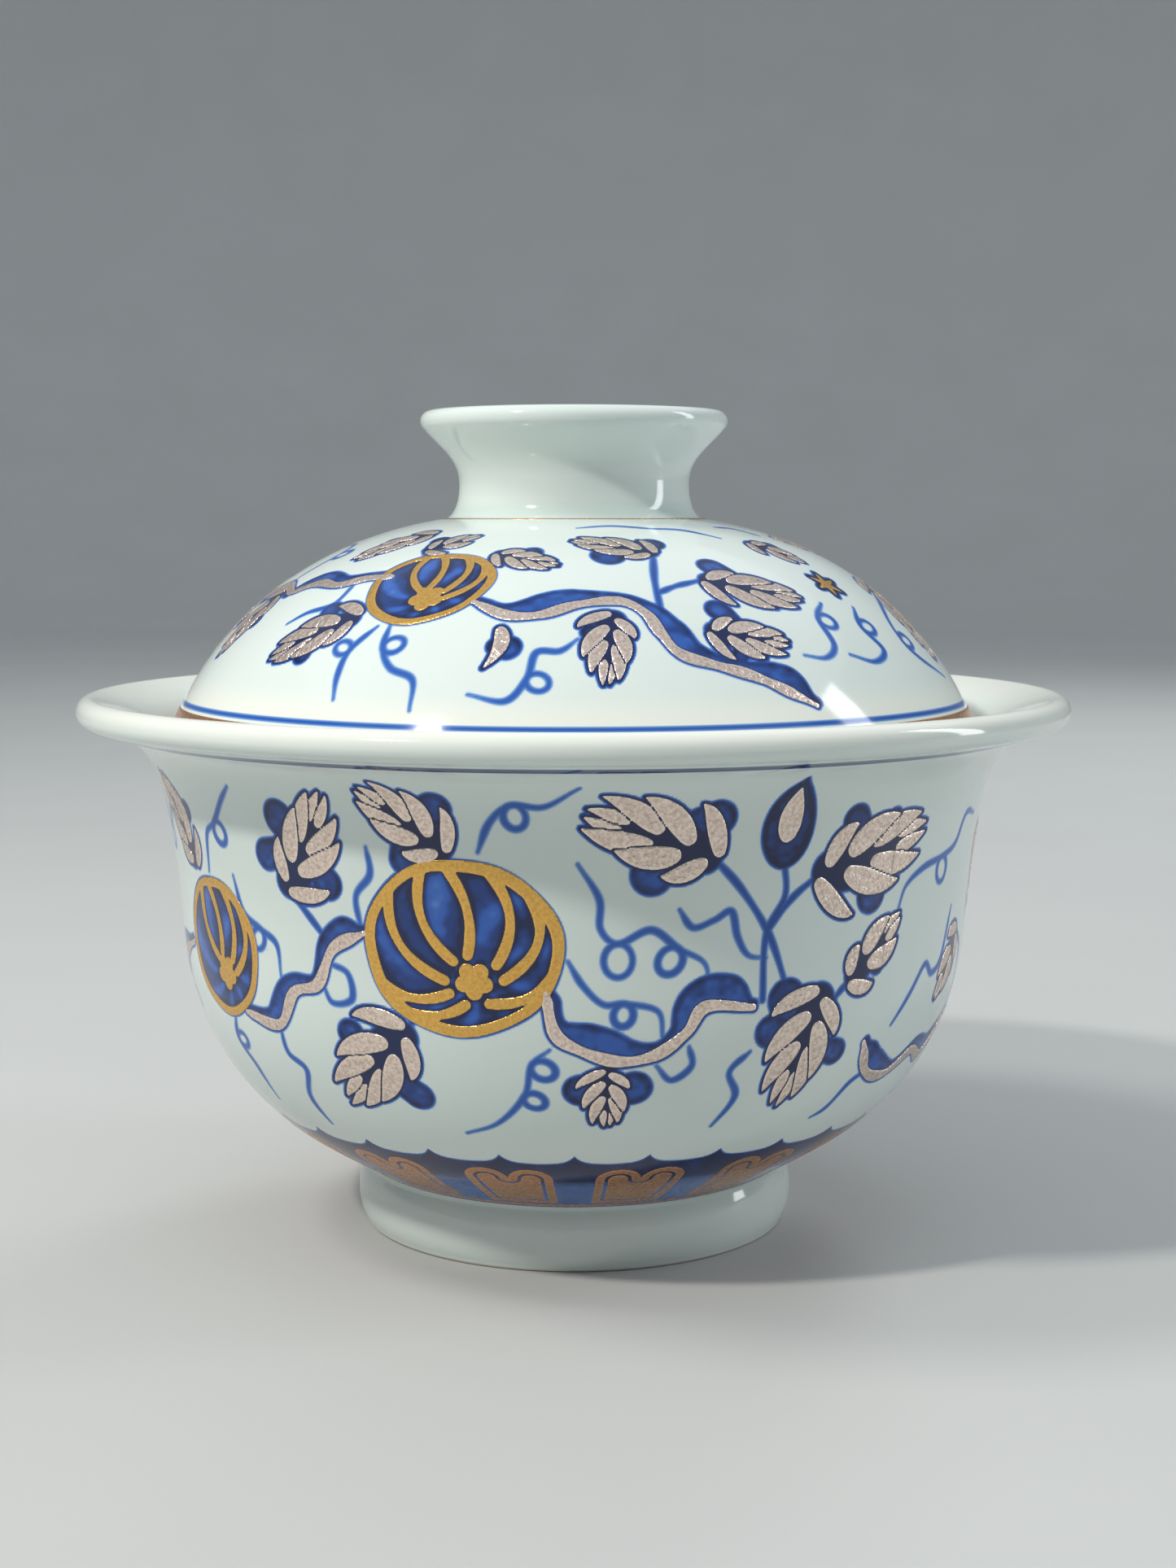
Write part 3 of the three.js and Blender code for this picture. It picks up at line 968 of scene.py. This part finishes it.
for piece, outline in (("bowl", bowl_outline()), ("lid", lid_outline())):
    body = turned(f"{piece}_porcelain", outline)
    body.data.materials.append(MATERIALS["porcelain"])
    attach(body, piece)
    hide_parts(piece)

bowl_painting = Painting(Surface(bowl_wall()))
paint_bowl(bowl_painting)
shells("bowl", bowl_painting, {"cobalt": 8, "silver": 4, "gold": 2, "copper": 4})

lid_painting = Painting(Surface(lid_dome()))
paint_lid(lid_painting)
shells("lid", lid_painting, {"cobalt": 4, "silver": 4, "gold": 2, "copper": 4})


# ---------------------------------------------------------------- the studio


CAMERA_PLACE = 0, -0.24824, 0.07399
LOOK_DOWN, LOOK_RIGHT = 6.412, 0.336  # degrees
STAGE_COLUMNS = 96
STAGE_RADIUS, STAGE_BEND, STAGE_TOP = 2.0, 0.7, 1.6


def camera():
    """The photograph's view: from a hand's length away, a little above the lip, looking slightly down."""
    data = bpy.data.cameras.new("camera")
    data.lens = 54.07
    data.sensor_width = 36
    data.clip_start = 0.01
    made = bpy.data.objects.new("camera", data)
    made.location = CAMERA_PLACE
    made.rotation_euler = (math.radians(90 - LOOK_DOWN), 0, math.radians(-LOOK_RIGHT))
    bpy.context.scene.collection.objects.link(made)
    bpy.context.scene.camera = made


def lamp(name, place, size, power, colour=(1, 1, 1), glossy=True, tall=None):
    """A soft light that looks at the gaiwan's middle, with or without its mirror image in the glaze. It is
    round, or a strip when it is `tall`."""
    data = bpy.data.lights.new(name, "AREA")
    data.shape = "RECTANGLE" if tall else "DISK"
    data.size = size
    if tall:
        data.size_y = tall
    data.energy = power
    data.color = colour
    made = bpy.data.objects.new(name, data)
    made.visible_glossy = glossy
    made.location = place
    aim = (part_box("bowl")[1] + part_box("bowl")[0]) / 2 - made.location
    made.rotation_euler = aim.to_track_quat("-Z", "Y").to_euler()
    bpy.context.scene.collection.objects.link(made)


def stage():
    """A pale floor that curves up into a round backdrop."""
    nodes = Nodes("stage")
    colour = nodes.mix(nodes.noise(60), (0.5, 0.51, 0.5), (0.54, 0.55, 0.54))
    nodes.bump([(nodes.noise(1.5), 0.02)])
    finish = nodes.finish(Base_Color=colour, Roughness=0.6)
    outline = [(0.4, 0.0)]
    for angle in np.linspace(0, math.pi / 2, 24):
        radius = STAGE_RADIUS - STAGE_BEND * (1 - math.sin(angle))
        outline.append((radius, STAGE_BEND * (1 - math.cos(angle))))
    outline.append((STAGE_RADIUS, STAGE_TOP))
    turns = np.arange(STAGE_COLUMNS) * TURN / STAGE_COLUMNS
    points = [(0, 0, 0)] + [(r * math.cos(a), r * math.sin(a), z) for r, z in outline for a in turns]
    sides = [(k, (k + 1) % STAGE_COLUMNS) for k in range(STAGE_COLUMNS)]
    faces = [(0, 1 + a, 1 + b) for a, b in sides]
    for row in range(len(outline) - 1):
        low, high = 1 + row * STAGE_COLUMNS, 1 + (row + 1) * STAGE_COLUMNS
        faces += [(low + a, high + a, high + b, low + b) for a, b in sides]
    mesh = bpy.data.meshes.new("stage")
    mesh.from_pydata(points, [], faces)
    mesh.shade_smooth()
    mesh.materials.append(finish)
    made = bpy.data.objects.new("stage", mesh)
    bpy.context.scene.collection.objects.link(made)


def world():
    made = bpy.data.worlds.new("studio")
    made.use_nodes = True
    background = made.node_tree.nodes["Background"]
    background.inputs["Color"].default_value = (0.84, 0.92, 1, 1)
    background.inputs["Strength"].default_value = 0.64
    bpy.context.scene.world = made


camera()
stage()
world()
lamp("key", (-0.42, -0.1, 0.68), 0.2, 2.0, (1, 0.96, 0.9), glossy=False)
lamp("glint", (-0.36, -0.32, 0.5), 0.05, 2.6, (1, 0.96, 0.9))
lamp("strip", (0.62, 0.05, 0.26), 0.1, 1.2, (0.95, 0.98, 1), tall=0.5)
lamp("back", (0.3, 0.6, 0.5), 0.25, 1.5, glossy=False)
bpy.context.scene.view_settings.view_transform = "Standard"
